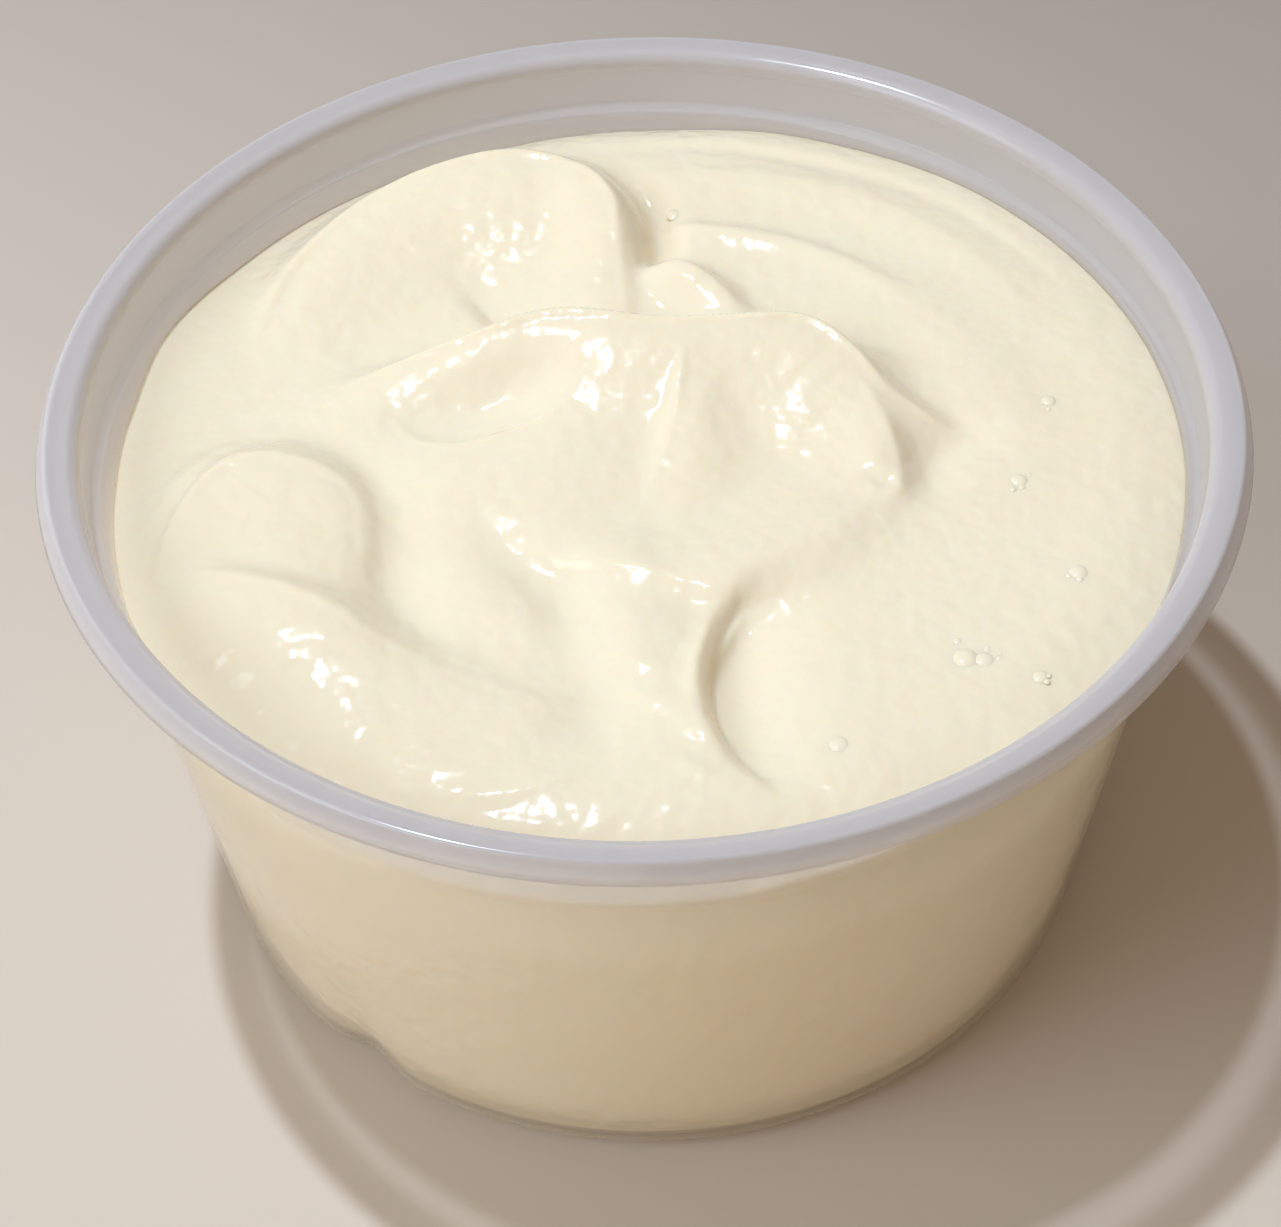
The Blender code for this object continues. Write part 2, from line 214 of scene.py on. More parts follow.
def cup_mesh():
    """The cup's inner face turned round the axis, dented, and given the sheet's thickness outwards."""
    profile = bpy.data.meshes.new("cup_profile")
    points = [(radius * MM, 0.0, height * MM) for radius, height in cup_profile()]
    profile.from_pydata(points, [(i, i + 1) for i in range(len(points) - 1)], [])
    turned = bpy.data.objects.new("cup_profile", profile)
    bpy.context.scene.collection.objects.link(turned)
    screw = turned.modifiers.new("Turn", "SCREW")
    screw.steps = TURN_STEPS
    screw.render_steps = TURN_STEPS
    screw.use_merge_vertices = True
    screw.merge_threshold = MERGE_DISTANCE * MM
    skin = evaluated_mesh(turned)
    bpy.data.objects.remove(turned)

    place_points(skin, dented(points_of(skin)))
    sheet = bpy.data.objects.new("cup_sheet", skin)
    bpy.context.scene.collection.objects.link(sheet)
    shell = sheet.modifiers.new("Sheet", "SOLIDIFY")
    shell.thickness = SHEET * MM
    shell.offset = -1.0
    shell.use_even_offset = True
    mesh = evaluated_mesh(sheet)
    bpy.data.objects.remove(sheet)
    points = points_of(mesh)
    over_cream = points[:, 2] - contact_height(np.arctan2(points[:, 1], points[:, 0]))
    empty = mesh.attributes.new("empty", "FLOAT", "POINT")
    empty.data.foreach_set("value", smoothstep(over_cream / FILM_HEIGHT + 0.5).astype(np.float32))
    return mesh


def new_material(name):
    """An empty material with its nodes, links and Principled shader."""
    material = bpy.data.materials.new(name)
    material.use_nodes = True
    nodes = material.node_tree.nodes
    return material, nodes, material.node_tree.links, nodes["Principled BSDF"]


def noise_node(nodes, links, place, scale, detail, roughness=0.5):
    """Noise on the given coordinates, its scale in waves per millimetre."""
    noise = nodes.new("ShaderNodeTexNoise")
    noise.inputs["Scale"].default_value = scale / MM
    noise.inputs["Detail"].default_value = detail
    noise.inputs["Roughness"].default_value = roughness
    links.new(place, noise.inputs["Vector"])
    return noise.outputs["Fac"]


def range_node(nodes, links, value, low, high, to_low, to_high):
    """Carries one range of values on to another, clamped."""
    node = nodes.new("ShaderNodeMapRange")
    node.inputs["From Min"].default_value = low
    node.inputs["From Max"].default_value = high
    node.inputs["To Min"].default_value = to_low
    node.inputs["To Max"].default_value = to_high
    links.new(value, node.inputs["Value"])
    return node.outputs["Result"]


def frosted_plastic():
    """Milky polypropylene: light spreads within it, and it is clearest where cream fills it, seen face on."""
    material, nodes, links, shader = new_material("frosted_plastic")
    place = nodes.new("ShaderNodeTexCoord").outputs["Object"]
    shader.inputs["IOR"].default_value = PLASTIC_IOR
    shader.inputs["Subsurface Weight"].default_value = 1.0
    shader.inputs["Subsurface Radius"].default_value = CUP_SCATTER
    shader.inputs["Subsurface Scale"].default_value = CUP_SCATTER_DEPTH * MM
    facing = nodes.new("ShaderNodeLayerWeight")
    facing.inputs["Blend"].default_value = CLOUD_BLEND
    clouded = range_node(nodes, links, facing.outputs["Facing"], 0.0, 1.0, CLOUD_FACING, CLOUD_EDGE)
    empty = nodes.new("ShaderNodeAttribute")
    empty.attribute_name = "empty"
    # Painted glow: below the cream's edge the wall's colour turns cream, in place of the cream's light
    # shining through the plastic
    painted_glow_tint = nodes.new("ShaderNodeMix")
    painted_glow_tint.data_type = "RGBA"
    painted_glow_tint.inputs["A"].default_value = PAINTED_CREAM_GLOW_COLOUR
    painted_glow_tint.inputs["B"].default_value = CUP_COLOUR
    links.new(empty.outputs["Fac"], painted_glow_tint.inputs["Factor"])
    milky = range_node(nodes, links, empty.outputs["Fac"], 0.0, 1.0, 0.0, EMPTY_CLOUD)
    height = nodes.new("ShaderNodeSeparateXYZ")
    links.new(place, height.inputs["Vector"])
    ring = range_node(nodes, links, height.outputs["Z"], (CUP_HEIGHT - SKIRT_DROP) * MM,
                      (CUP_HEIGHT - LIP_DROP) * MM, 0.0, 1.0)
    ring_tint = nodes.new("ShaderNodeMix")
    ring_tint.data_type = "RGBA"
    ring_tint.inputs["B"].default_value = RING_COLOUR
    links.new(ring, ring_tint.inputs["Factor"])
    links.new(painted_glow_tint.outputs["Result"], ring_tint.inputs["A"])
    links.new(ring_tint.outputs["Result"], shader.inputs["Base Color"])
    for layer in (milky, range_node(nodes, links, ring, 0.0, 1.0, 0.0, RING_CLOUD)):
        thicker = nodes.new("ShaderNodeMath")
        thicker.operation = "ADD"
        thicker.use_clamp = True
        links.new(clouded, thicker.inputs[0])
        links.new(layer, thicker.inputs[1])
        clouded = thicker.outputs[0]
    links.new(clouded, shader.inputs["Alpha"])
    haze = noise_node(nodes, links, place, HAZE_WAVES, SOFT_DETAIL)
    links.new(range_node(nodes, links, haze, *HAZE_SPAN, *PLASTIC_ROUGHNESS), shader.inputs["Roughness"])
    return material


cup = add_piece("cup_shell", cup_mesh(), frosted_plastic())
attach(cup, "root")
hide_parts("cup")

# Sour cream.
# One body of thick cultured cream, spooned in and pushed about, so that it stands in soft folds with sharp
# crests and smooth hollows. It wets the wall, so its side reaches just into the plastic.
WALL_BITE = 0.15
GRID_CELLS = 300
LEVEL = 32.7
LEVEL_TO_RIGHT = 0.022
LEVEL_TO_BACK = 0.015
FOLD_BLEND = 0.5
FOLD_MIX = 4
FLANK_CHANGE = 1.2
CREST_ROUNDING = 0.7
CURVE_STEP = 0.28
FOLD_REACH = 4.5
CREAM_ROWS = (22.0, 12.0, 5.2, 1.9)
CREAM_BASE_INSET = 1.1
CREAM_COLOUR = (0.85, 0.745, 0.55, 1.0)
CREAM_DEEP_COLOUR = (0.82, 0.705, 0.50, 1.0)
CREAM_DEEP_SHARE = 0.5
CREAM_IOR = 1.42
CREAM_ROUGHNESS = (0.09, 0.15)
CREAM_GLOW = (1.0, 0.62, 0.30)
CREAM_GLOW_DEPTH = 0.7
CREAM_GLOW_SHARE = 0.45
TONE_WAVES = 0.08
TONE_SPAN = (0.35, 0.75)
WET_WAVES = 0.4
WET_SPAN = (0.35, 0.7)
GRAIN_WAVES = 0.75
GRAIN_DETAIL = 1.0
GRAIN_ROUGHNESS = 0.4
GRAIN_DEPTH = 0.13

# A fold is a crest or a furrow along a smooth line of (x, y, height) points. Its flanks fall away over a
# width on the left and one on the right of the line, and a low power leaves a sharp top and a long foot.
Fold = namedtuple("Fold", "left left_power right right_power line")

CRESTS = {
    "mound_body": Fold(6.0, 2.0, 6.0, 2.0, (
        (-24.2, -4.4, 1.7), (-21.0, -9.6, 1.6),
    )),
    "back_left_mound": Fold(2.4, 2.0, 7.6, 2.2, (
        (-24.5, 12.5, 0.6), (-22.4, 18.3, 1.5), (-17.0, 24.2, 2.3), (-9.2, 26.5, 3.0), (-4.6, 25.4, 3.0),
    )),
    "mound_shoulder": Fold(2.4, 2.0, 5.0, 2.0, (
        (-6.5, 26.2, 2.7), (-3.8, 24.6, 3.2), (-2.0, 21.8, 3.1), (-1.6, 18.6, 2.2), (-1.4, 15.4, 1.3),
        (-1.1, 12.6, 0.7),
    )),
    "small_knob": Fold(1.6, 2.0, 2.6, 2.0, (
        (0.9, 16.6, 1.4), (2.7, 15.9, 2.1), (4.5, 14.5, 1.8), (6.0, 12.6, 1.2), (7.2, 10.6, 0.4),
    )),
    "main_ridge": Fold(1.8, 2.0, 7.5, 1.7, (
        (-20.5, 6.6, 0.3), (-17.3, 6.8, 1.3), (-13.5, 7.7, 2.4), (-8.9, 8.7, 3.5), (-5.4, 9.3, 4.1),
        (1.2, 8.3, 3.9), (6.3, 8.3, 3.8), (10.1, 8.2, 3.6), (12.7, 6.3, 3.0), (15.0, 3.4, 2.0),
        (17.6, 1.4, 1.1), (20.3, 0.2, 0.0),
    )),
    "ridge_spur": Fold(6.0, 2.0, 2.6, 1.7, (
        (3.0, 7.2, 3.7), (2.8, 5.2, 3.2), (2.4, 2.6, 2.5), (1.8, 0.0, 1.8), (1.0, -2.6, 1.05),
        (0.2, -4.8, 0.4),
    )),
    "bowl_rim": Fold(9.0, 2.0, 1.9, 2.0, (
        (-3.0, 4.2, 2.4), (-6.1, 2.0, 1.9), (-9.6, 0.6, 1.6), (-12.7, 0.4, 1.4), (-15.2, 1.9, 1.3),
        (-16.8, 5.2, 0.9),
    )),
    "right_arm": Fold(2.0, 2.0, 4.5, 2.0, (
        (13.2, 4.4, 2.3), (14.5, 1.2, 2.05), (15.3, -1.4, 1.85), (15.4, -3.4, 1.5), (14.8, -5.4, 0.6),
    )),
    "front_left_mound": Fold(3.2, 2.0, 8.0, 2.2, (
        (-29.4, -8.0, 0.5), (-28.4, -4.6, 1.3), (-26.6, -1.8, 1.9), (-23.6, -0.7, 2.0), (-20.4, -1.6, 1.8),
        (-18.1, -3.8, 1.5), (-17.6, -8.0, 1.2),
    )),
    "front_ridge": Fold(3.0, 2.0, 6.0, 2.0, (
        (-27.4, -9.8, 1.4), (-23.6, -11.2, 2.0), (-19.8, -12.9, 2.0), (-15.6, -15.8, 1.2),
        (-10.4, -18.6, 0.7), (-6.0, -21.2, 0.4),
    )),
    "inner_lobe": Fold(3.4, 2.0, 5.0, 2.0, (
        (-16.0, -2.4, 0.4), (-12.6, -6.0, 0.6), (-9.2, -9.8, 0.6), (-7.0, -13.0, 0.3),
    )),
    "tongue": Fold(4.0, 3.0, 3.6, 3.0, (
        (-2.0, -9.0, 0.9), (-0.8, -14.0, 1.0), (0.4, -20.0, 0.6), (1.6, -26.0, 0.1),
    )),
    "tongue_lip": Fold(0.7, 2.0, 1.8, 2.0, (
        (5.4, -13.6, 0.7), (3.9, -16.1, 1.2), (3.0, -19.2, 1.0), (3.3, -22.2, 0.7), (4.6, -24.6, 0.2),
    )),
    "foot_edge": Fold(3.6, 2.0, 6.0, 2.0, (
        (14.6, -3.8, 0.5), (12.4, -6.2, 1.2), (9.4, -8.6, 1.4), (6.2, -10.2, 1.2), (4.0, -11.4, 0.8),
    )),
}

# Low folds that ride on the others
RISES = {
    "tongue_ripple_back": Fold(0.9, 2.0, 0.7, 2.0, (
        (-3.0, -17.4, 0.0), (-1.0, -17.6, 0.16), (0.8, -18.2, 0.0),
    )),
    "tongue_ripple_middle": Fold(0.9, 2.0, 0.7, 2.0, (
        (-1.0, -20.2, 0.0), (0.9, -20.9, 0.2), (2.8, -21.9, 0.0),
    )),
    "tongue_ripple_right": Fold(0.8, 2.0, 0.7, 2.0, (
        (1.2, -22.4, 0.0), (3.0, -23.1, 0.2), (4.8, -24.2, 0.0),
    )),
    "tongue_ripple_front": Fold(0.9, 2.0, 0.7, 2.0, (
        (0.4, -25.2, 0.0), (2.4, -25.7, 0.16), (4.2, -26.6, 0.0),
    )),
    "front_streak": Fold(0.6, 2.0, 0.6, 2.0, (
        (-12.8, -26.0, 0.0), (-11.0, -26.7, 0.10), (-8.2, -26.8, 0.16), (-5.6, -26.2, 0.12),
        (-3.8, -25.4, 0.0),
    )),
    "front_streak_low": Fold(0.5, 2.0, 0.6, 2.0, (
        (-11.0, -27.8, 0.0), (-8.8, -28.5, 0.12), (-6.4, -28.9, 0.12), (-4.4, -28.9, 0.0),
    )),
    "tongue_crease": Fold(3.5, 2.0, 1.0, 2.0, (
        (-7.6, -7.3, 0.0), (-5.6, -8.5, 0.4), (-0.5, -10.4, 0.55), (3.1, -11.8, 0.55), (5.2, -12.8, 0.3),
    )),
    "back_smear": Fold(1.2, 2.0, 2.0, 2.0, (
        (1.0, 26.8, 0.2), (8.0, 26.0, 0.35), (15.5, 23.0, 0.35), (22.0, 17.0, 0.25), (25.5, 10.0, 0.1),
    )),
    "inner_smear": Fold(0.8, 2.0, 1.2, 2.0, (
        (1.0, 21.4, 0.2), (5.0, 20.6, 0.5), (9.0, 19.4, 0.5), (13.0, 17.2, 0.3), (17.0, 13.7, 0.1),
    )),
    "far_smear": Fold(3.0, 2.0, 4.0, 2.0, (
        (11.0, 17.5, 0.1), (16.0, 14.0, 0.4), (20.0, 9.0, 0.5), (22.5, 3.0, 0.3), (23.0, -3.0, 0.1),
    )),
}

FURROWS = {
    "valley_foot": Fold(2.6, 2.0, 2.8, 2.0, (
        (-15.6, -10.0, 0.2), (-14.0, -14.0, 0.45), (-10.7, -16.0, 0.5), (-6.4, -17.6, 0.5),
        (-3.2, -19.4, 0.6), (-3.6, -22.4, 0.5),
    )),
    "mound_crease": Fold(1.2, 2.0, 0.9, 2.0, (
        (-1.4, 26.6, 0.2), (0.6, 24.2, 0.9), (1.2, 21.4, 1.3), (1.2, 18.8, 1.0), (0.8, 17.2, 0.3),
    )),
    "mound_dimple": Fold(2.4, 2.0, 0.9, 2.0, (
        (-12.8, 18.4, 0.0), (-11.4, 16.4, 0.25), (-9.8, 13.8, 0.5), (-8.2, 11.6, 0.5),
    )),
    "mound_edge": Fold(0.8, 2.0, 1.2, 2.0, (
        (-24.4, 10.5, 0.05), (-23.4, 15.0, 0.15), (-20.4, 20.6, 0.15), (-16.0, 25.0, 0.05),
    )),
    "bowl": Fold(2.6, 2.0, 2.4, 2.0, (
        (-15.0, 3.6, 0.5), (-11.4, 3.8, 1.2), (-8.0, 4.8, 1.3), (-5.6, 6.0, 0.5),
    )),
    "ridge_hollow": Fold(2.6, 2.0, 2.6, 2.0, (
        (6.0, 5.6, 0.1), (6.4, 2.6, 0.2), (6.6, -0.6, 0.15),
    )),
    "arm_hollow": Fold(2.0, 2.0, 2.2, 2.0, (
        (17.0, -3.6, 0.5), (18.0, -1.2, 1.2), (19.8, -0.2, 0.7), (21.6, 0.4, 0.1),
    )),
    "nose_dimple": Fold(0.6, 2.0, 0.6, 2.0, (
        (13.8, -3.4, 0.22), (14.9, -4.2, 0.22),
    )),
    "winding_valley": Fold(3.2, 2.0, 1.8, 2.0, (
        (-22.0, 1.8, 0.1), (-18.6, -0.4, 0.3), (-16.4, -3.4, 0.6), (-15.8, -7.4, 0.7), (-15.2, -11.0, 0.5),
        (-14.4, -13.6, 0.1),
    )),
    "lobe_valley": Fold(2.4, 2.0, 1.8, 2.0, (
        (-11.0, -6.0, 0.05), (-9.4, -7.6, 0.25), (-7.2, -9.8, 0.45), (-5.2, -12.2, 0.6), (-4.4, -15.8, 0.3),
    )),
    "crescent": Fold(0.8, 2.0, 3.8, 2.0, (
        (6.9, -26.8, 0.0), (5.3, -24.2, 1.0), (4.3, -21.4, 1.6), (4.0, -18.8, 1.8), (4.4, -16.1, 1.7),
        (5.3, -13.9, 1.1), (7.0, -12.8, 0.2),
    )),
    "wall_smear": Fold(0.6, 2.0, 0.9, 2.0, (
        (-3.0, 29.4, 0.1), (4.4, 29.8, 0.25), (13.2, 27.2, 0.3), (21.1, 22.4, 0.2), (27.4, 14.4, 0.1),
    )),
    "left_crease": Fold(0.8, 2.0, 0.5, 2.0, (
        (-30.6, -12.0, 0.1), (-30.6, -8.0, 0.3), (-29.3, -4.0, 0.35), (-26.4, 0.2, 0.3), (-23.6, 1.8, 0.2),
    )),
}


def curve_points(line):
    """A smooth curve through a fold's points, each with its height, in even small steps of each span."""
    points = np.array(line, float)
    points = np.vstack([2 * points[0] - points[1], points, 2 * points[-1] - points[-2]])
    found = []
    for before, start, end, after in zip(points[:-3], points[1:-2], points[2:-1], points[3:]):
        steps = math.ceil(np.hypot(*(end - start)[:2]) / CURVE_STEP)
        for t in np.arange(steps) / steps:
            found.append(0.5 * (
                2 * start + (end - before) * t + (2 * before - 5 * start + 4 * end - after) * t**2
                + (3 * start - before - 3 * end + after) * t**3
            ))
    found.append(points[-2])
    return np.array(found)


def stroke_spread(power):
    """Length, in widths, over which neighbouring points of a line add up at one place."""
    return 2 * math.gamma(1 + 1 / power) / FOLD_MIX ** (1 / power)


def fold_height(fold, x, y):
    """Height of one fold over each place, as a power mean of soft humps strung along its line."""
    curve = curve_points(fold.line)
    reach = FOLD_REACH * max(fold.left, fold.right)
    near = (x > curve[:, 0].min() - reach) & (x < curve[:, 0].max() + reach)
    near &= (y > curve[:, 1].min() - reach) & (y < curve[:, 1].max() + reach)
    near_x = x[near]
    near_y = y[near]
    total = np.zeros(near_x.shape)
    for start, end in zip(curve[:-1], curve[1:]):
        run = end[:2] - start[:2]
        step = np.hypot(*run)
        middle = (start + end) / 2
        off_x = near_x - middle[0]
        off_y = near_y - middle[1]
        distance = np.hypot(off_x, off_y)
        to_left = (run[0] * off_y - run[1] * off_x) / (step * (distance + CREST_ROUNDING))
        share = smoothstep(0.5 + FLANK_CHANGE * to_left)
        width = fold.right + (fold.left - fold.right) * share
        power = fold.right_power + (fold.left_power - fold.right_power) * share
        spread = stroke_spread(fold.right_power) * (1 - share) + stroke_spread(fold.left_power) * share
        hump = max(middle[2], 0.0) * np.exp(-((distance / width) ** power))
        total += hump**FOLD_MIX * step / (width * spread)
    heights = np.zeros(x.shape)
    heights[near] = total ** (1 / FOLD_MIX)
    return heights


def blended_highest(first, second):
    """The higher of two surfaces, with a soft join where they cross."""
    near = np.maximum(FOLD_BLEND - np.abs(first - second), 0.0) / FOLD_BLEND
    return np.maximum(first, second) + near**2 * FOLD_BLEND / 4


def cream_height(x, y):
    """Height of the cream's surface over each place."""
    folds = np.zeros(x.shape)
    for fold in CRESTS.values():
        folds = blended_highest(folds, fold_height(fold, x, y))
    for fold in RISES.values():
        folds = folds + fold_height(fold, x, y)
    for fold in FURROWS.values():
        folds = folds - fold_height(fold, x, y)
    inside = LEVEL + LEVEL_TO_RIGHT * x + LEVEL_TO_BACK * y + folds
    turn = np.arctan2(y, x)
    contact = contact_height(turn)
    from_wall = wall_radius(contact) + WALL_BITE - np.hypot(x, y)
    share = np.clip(from_wall / round_wall(turn, 2), 0.0, 1.0)
    return contact + (inside - contact) * share * (2.0 - share)


def square_to_disc(across, along):
    """Maps the square from -1 to 1 on to the unit disc with cells of nearly even size."""
    flat = np.abs(across) > np.abs(along)
    radius = np.where(flat, across, along)
    other = np.where(flat, along, across)
    share = other / np.where(np.abs(radius) < 1e-9, 1.0, radius)
    turn = np.where(flat, share * math.pi / 4, math.pi / 2 - share * math.pi / 4)
    return radius * np.cos(turn), radius * np.sin(turn)


def cream_mesh():
    """A disc of even cells raised into folds, closed by a side along the wall and a flat base."""
    shape = bmesh.new()
    bmesh.ops.create_grid(shape, x_segments=GRID_CELLS, y_segments=GRID_CELLS, size=1.0)
    rim = [edge for edge in shape.edges if edge.is_boundary]
    top_count = len(shape.verts)
    rows = [(wall_radius(height) + WALL_BITE, height) for height in CREAM_ROWS]
    rows.append((wall_radius(SHEET) - CREAM_BASE_INSET, SHEET))
    for _ in rows:
        made = bmesh.ops.extrude_edge_only(shape, edges=rim)["geom"]
        rim = [item for item in made if isinstance(item, bmesh.types.BMEdge)]
    bmesh.ops.contextual_create(shape, geom=rim)
    mesh = bpy.data.meshes.new("cream")
    shape.to_mesh(mesh)
    shape.free()

    square = points_of(mesh) * MM
    x, y = square_to_disc(square[:, 0], square[:, 1])
    turn = np.arctan2(y, x)
    edge_radius = wall_radius(contact_height(turn)) + WALL_BITE
    top = slice(0, top_count)
    points = np.column_stack([x * edge_radius, y * edge_radius, np.zeros(len(x))])
    points[top, 2] = cream_height(points[top, 0], points[top, 1])
    side_count = (len(points) - top_count) // len(rows)
    for row, (radius, height) in enumerate(rows):
        band = slice(top_count + row * side_count, top_count + (row + 1) * side_count)
        points[band, 0] = radius * np.cos(turn[band])
        points[band, 1] = radius * np.sin(turn[band])
        points[band, 2] = height
    place_points(mesh, dented(points))

    shape = bmesh.new()
    shape.from_mesh(mesh)
    bmesh.ops.recalc_face_normals(shape, faces=shape.faces)
    shape.to_mesh(mesh)
    shape.free()
    return mesh


def bump_node(nodes, links, height, depth):
    """A bump of the given depth in millimetres."""
    bump = nodes.new("ShaderNodeBump")
    bump.inputs["Distance"].default_value = depth * MM
    bump.inputs["Strength"].default_value = 1.0
    links.new(height, bump.inputs["Height"])
    return bump.outputs["Normal"]


def cultured_cream(name, glow):
    """Wet, glossy cream: light sinks in and glows back, and a low grain breaks up each highlight."""
    material, nodes, links, shader = new_material(name)
    place = nodes.new("ShaderNodeTexCoord").outputs["Object"]
    tone = noise_node(nodes, links, place, TONE_WAVES, SOFT_DETAIL)
    blend = nodes.new("ShaderNodeMix")
    blend.data_type = "RGBA"
    blend.inputs["A"].default_value = CREAM_COLOUR
    blend.inputs["B"].default_value = CREAM_DEEP_COLOUR
    deep = range_node(nodes, links, tone, *TONE_SPAN, 0.0, CREAM_DEEP_SHARE)
    links.new(deep, blend.inputs["Factor"])
    links.new(blend.outputs["Result"], shader.inputs["Base Color"])
    shader.inputs["IOR"].default_value = CREAM_IOR
    shader.inputs["Subsurface Weight"].default_value = glow
    shader.inputs["Subsurface Radius"].default_value = CREAM_GLOW
    shader.inputs["Subsurface Scale"].default_value = CREAM_GLOW_DEPTH * MM
    wet = noise_node(nodes, links, place, WET_WAVES, SOFT_DETAIL)
    links.new(range_node(nodes, links, wet, *WET_SPAN, *CREAM_ROUGHNESS), shader.inputs["Roughness"])
    grain = noise_node(nodes, links, place, GRAIN_WAVES, GRAIN_DETAIL, GRAIN_ROUGHNESS)
    links.new(bump_node(nodes, links, grain, GRAIN_DEPTH), shader.inputs["Normal"])
    return material


cream = add_piece("cream_folds", cream_mesh(), cultured_cream("cultured_cream", CREAM_GLOW_SHARE))
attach(cream, "root")
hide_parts("sour_cream")

# Air bubbles.
# Small bubbles that rose in the cream and stopped under its skin, each a low dome. Their places are those
# that show, and each has a few smaller ones beside it, as stirred cream has.
BUBBLE_SINK = 0.55
BUBBLE_FLATNESS = 0.45
BUBBLE_SUBDIVISIONS = 4
SATELLITE_SHARE = 0.35
SATELLITE_REACH = 1.6
SATELLITE_RISE = BUBBLE_FLATNESS * BUBBLE_SINK * (1.0 - SATELLITE_SHARE) / SATELLITE_REACH
BUBBLE_INPUTS = {
    "Satellites": 3,
    "Satellite Share": SATELLITE_SHARE,
    "Satellite Reach": SATELLITE_REACH,
    "Flatness": BUBBLE_FLATNESS,
    "Seed": 7,
}

# Place across and along, and radius
BUBBLE_PLACES = (
    (18.5, -18.1, 0.85), (19.6, -18.3, 0.65), (22.7, -19.6, 0.55), (25.8, -11.6, 0.65), (10.8, -24.2, 0.65),
    (25.5, 3.1, 0.55), (23.0, -3.8, 0.6), (2.5, 23.0, 0.6),
)


def product_node(nodes, links, first, second):
    """One value times another."""
    node = nodes.new("ShaderNodeMath")
    node.operation = "MULTIPLY"
    links.new(first, node.inputs[0])
    links.new(second, node.inputs[1])
    return node.outputs["Value"]


def bubble_tree(material):
    """Each point becomes a dome of its own size, with smaller ones strewn about it by a seeded draw."""
    tree = bpy.data.node_groups.new("air_bubbles", "GeometryNodeTree")
    tree.interface.new_socket("Geometry", in_out="INPUT", socket_type="NodeSocketGeometry")
    for name, value in BUBBLE_INPUTS.items():
        kind = "NodeSocketInt" if isinstance(value, int) else "NodeSocketFloat"
        tree.interface.new_socket(name, in_out="INPUT", socket_type=kind)
    tree.interface.new_socket("Geometry", in_out="OUTPUT", socket_type="NodeSocketGeometry")
    nodes = tree.nodes
    links = tree.links
    given = nodes.new("NodeGroupInput").outputs
    size = nodes.new("GeometryNodeInputNamedAttribute")
    size.data_type = "FLOAT"
    size.inputs["Name"].default_value = "size"
    ball = nodes.new("GeometryNodeMeshIcoSphere")
    ball.inputs["Radius"].default_value = 1.0
    ball.inputs["Subdivisions"].default_value = BUBBLE_SUBDIVISIONS

    copies = nodes.new("GeometryNodeDuplicateElements")
    copies.domain = "POINT"
    links.new(given["Geometry"], copies.inputs["Geometry"])
    links.new(given["Satellites"], copies.inputs["Amount"])
    spread = nodes.new("FunctionNodeRandomValue")
    spread.data_type = "FLOAT_VECTOR"
    spread.inputs["Min"].default_value = (-1.0, -1.0, SATELLITE_RISE)
    spread.inputs["Max"].default_value = (1.0, 1.0, SATELLITE_RISE)
    links.new(given["Seed"], spread.inputs["Seed"])
    shift = nodes.new("ShaderNodeVectorMath")
    shift.operation = "SCALE"
    links.new(spread.outputs["Value"], shift.inputs[0])
    reach = product_node(nodes, links, size.outputs["Attribute"], given["Satellite Reach"])
    links.new(reach, shift.inputs["Scale"])
    strewn = nodes.new("GeometryNodeSetPosition")
    links.new(copies.outputs["Geometry"], strewn.inputs["Geometry"])
    links.new(shift.outputs["Vector"], strewn.inputs["Offset"])

    joined = nodes.new("GeometryNodeJoinGeometry")
    radius = size.outputs["Attribute"]
    smaller = product_node(nodes, links, radius, given["Satellite Share"])
    for points, across in ((given["Geometry"], radius), (strewn.outputs["Geometry"], smaller)):
        shape = nodes.new("ShaderNodeCombineXYZ")
        links.new(across, shape.inputs["X"])
        links.new(across, shape.inputs["Y"])
        links.new(product_node(nodes, links, across, given["Flatness"]), shape.inputs["Z"])
        domes = nodes.new("GeometryNodeInstanceOnPoints")
        links.new(points, domes.inputs["Points"])
        links.new(ball.outputs["Mesh"], domes.inputs["Instance"])
        links.new(shape.outputs["Vector"], domes.inputs["Scale"])
        links.new(domes.outputs["Instances"], joined.inputs["Geometry"])
    solid = nodes.new("GeometryNodeRealizeInstances")
    dressed = nodes.new("GeometryNodeSetMaterial")
    dressed.inputs["Material"].default_value = material
    links.new(joined.outputs["Geometry"], solid.inputs["Geometry"])
    links.new(solid.outputs["Geometry"], dressed.inputs["Geometry"])
    links.new(dressed.outputs["Geometry"], nodes.new("NodeGroupOutput").inputs["Geometry"])
    return tree


def bubble_mesh(material):
    """The points of BUBBLE_PLACES on the cream's skin, run through the bubble tree, as a plain mesh."""
    places = np.array(BUBBLE_PLACES)
    heights = cream_height(places[:, 0], places[:, 1]) - places[:, 2] * BUBBLE_FLATNESS * BUBBLE_SINK
    points = np.column_stack([places[:, 0], places[:, 1], heights]) * MM
    mesh = bpy.data.meshes.new("bubble_places")
    mesh.from_pydata(points.tolist(), [], [])
    size = mesh.attributes.new("size", "FLOAT", "POINT")
    size.data.foreach_set("value", (places[:, 2] * MM).astype(np.float32))
    spots = bpy.data.objects.new("bubble_places", mesh)
    bpy.context.scene.collection.objects.link(spots)
    growth = spots.modifiers.new("Bubbles", "NODES")
    growth.node_group = bubble_tree(material)
    for socket in growth.node_group.interface.items_tree:
        if socket.name in BUBBLE_INPUTS:
            growth[socket.identifier] = BUBBLE_INPUTS[socket.name]
    domes = evaluated_mesh(spots)
    bpy.data.objects.remove(spots)
    return domes


bubble_skin = cultured_cream("bubble_skin", 0.0)
bubbles = add_piece("cream_bubbles", bubble_mesh(bubble_skin), bubble_skin)
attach(bubbles, "root")
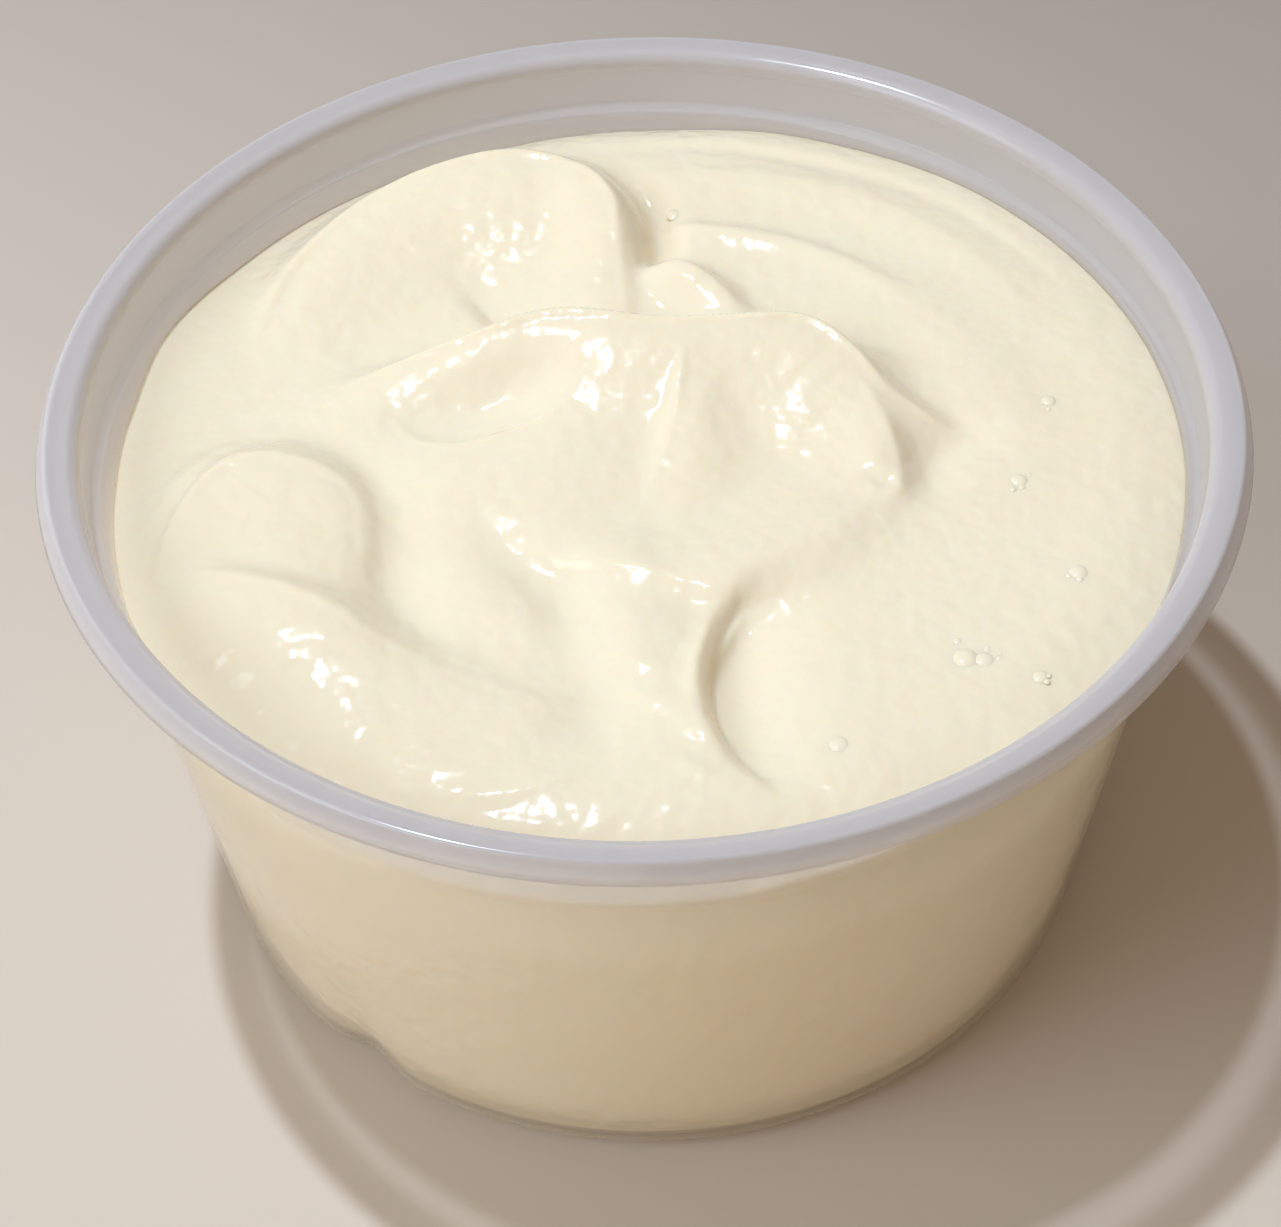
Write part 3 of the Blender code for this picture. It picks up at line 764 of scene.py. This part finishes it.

# Table.
# A plain pale warm surface under the cup, which isn't part of it. Its colour is painted darker to the back
# right, as painted shade where the light falls off.
TABLE_SIZE = 3000.0
TABLE_COLOUR = (0.60, 0.51, 0.42, 1.0)
TABLE_PAINTED_SHADE_COLOUR = (0.30, 0.25, 0.21, 1.0)
TABLE_DIM_TOWARDS = (0.5, 0.87, 0.0)
TABLE_DIM_FROM = -10.0
TABLE_DIM_TO = 140.0
TABLE_ROUGHNESS = 0.75

table_shape = bmesh.new()
bmesh.ops.create_grid(table_shape, x_segments=1, y_segments=1, size=TABLE_SIZE * MM / 2)
table_mesh = bpy.data.meshes.new("table_top")
table_shape.to_mesh(table_mesh)
table_shape.free()
table_material, table_nodes, table_links, table_shader = new_material("matte_table")
table_across = table_nodes.new("ShaderNodeVectorMath")
table_across.operation = "DOT_PRODUCT"
table_across.inputs[1].default_value = TABLE_DIM_TOWARDS
table_links.new(table_nodes.new("ShaderNodeTexCoord").outputs["Object"], table_across.inputs[0])
# Painted shade: the table's colour darkens towards the back right in place of light falling off
table_painted_shade = table_nodes.new("ShaderNodeMix")
table_painted_shade.data_type = "RGBA"
table_painted_shade.inputs["A"].default_value = TABLE_COLOUR
table_painted_shade.inputs["B"].default_value = TABLE_PAINTED_SHADE_COLOUR
table_links.new(range_node(table_nodes, table_links, table_across.outputs["Value"],
                           TABLE_DIM_FROM * MM, TABLE_DIM_TO * MM, 0.0, 1.0), table_painted_shade.inputs["Factor"])
table_links.new(table_painted_shade.outputs["Result"], table_shader.inputs["Base Color"])
table_shader.inputs["Roughness"].default_value = TABLE_ROUGHNESS
table = add_piece("table_top", table_mesh, table_material)

# Light.
# A small lamp high over the back left, as the shadow and the gleams show, a soft wide one from the left, a
# weak warm one from low in front and a dim even sky. Lamp places and sizes are in metres.
AIM = Vector((0.0, 0.0, 0.03))
COOL_LIGHT = (0.70, 0.83, 1.0)
WARM_LIGHT = (1.0, 0.86, 0.68)
KEY_PLACE = Vector((-0.22, 0.145, 0.96)).normalized() * 0.8
KEY_SIZE = 0.03
KEY_WATTS = 4.4
LEFT_PLACE = Vector((-0.5, -0.25, 0.45))
LEFT_WATTS = 2.6
FRONT_PLACE = Vector((-0.25, -0.65, 0.12))
FRONT_WATTS = 0.8
FILL_SIZE = 0.5
SKY_COLOUR = (1.0, 0.85, 0.70, 1.0)
SKY_STRENGTH = 0.36


def area_lamp(name, place, size, watts, colour):
    """A round lamp at a place, turned to the cup."""
    light = bpy.data.lights.new(name, "AREA")
    light.shape = "DISK"
    light.size = size
    light.energy = watts
    light.color = colour
    lamp = bpy.data.objects.new(name, light)
    bpy.context.scene.collection.objects.link(lamp)
    lamp.location = place
    lamp.rotation_euler = (AIM - place).to_track_quat("-Z", "Y").to_euler()


area_lamp("key_lamp", KEY_PLACE, KEY_SIZE, KEY_WATTS, COOL_LIGHT)
area_lamp("left_fill", LEFT_PLACE, FILL_SIZE, LEFT_WATTS, COOL_LIGHT)
area_lamp("front_fill", FRONT_PLACE, FILL_SIZE, FRONT_WATTS, WARM_LIGHT)
sky = bpy.data.worlds.new("studio_sky")
bpy.context.scene.world = sky
sky.use_nodes = True
sky.node_tree.nodes["Background"].inputs["Color"].default_value = SKY_COLOUR
sky.node_tree.nodes["Background"].inputs["Strength"].default_value = SKY_STRENGTH
bpy.context.scene.view_settings.view_transform = "Standard"

# Camera.
# Where the photograph was taken from: high in front, looking down at the cup at about 43 degrees.
CAMERA_PLACE = Vector((0.0, -144.5, 171.3)) * MM
CAMERA_FORWARD = Vector((-0.0023, 0.6872, -0.7265))
CAMERA_RIGHT = Vector((0.9997, -0.0167, -0.0190))
LENS = 89.93
SENSOR_WIDTH = 36.0
NEAREST = 10.0

forward = CAMERA_FORWARD.normalized()
right = (CAMERA_RIGHT - CAMERA_RIGHT.dot(forward) * forward).normalized()
up = right.cross(forward)
camera_data = bpy.data.cameras.new("view")
camera_data.lens = LENS
camera_data.sensor_width = SENSOR_WIDTH
camera_data.clip_start = NEAREST * MM
camera = bpy.data.objects.new("view", camera_data)
bpy.context.scene.collection.objects.link(camera)
camera.matrix_world = Matrix.Translation(CAMERA_PLACE) @ Matrix((right, up, -forward)).transposed().to_4x4()
bpy.context.scene.camera = camera
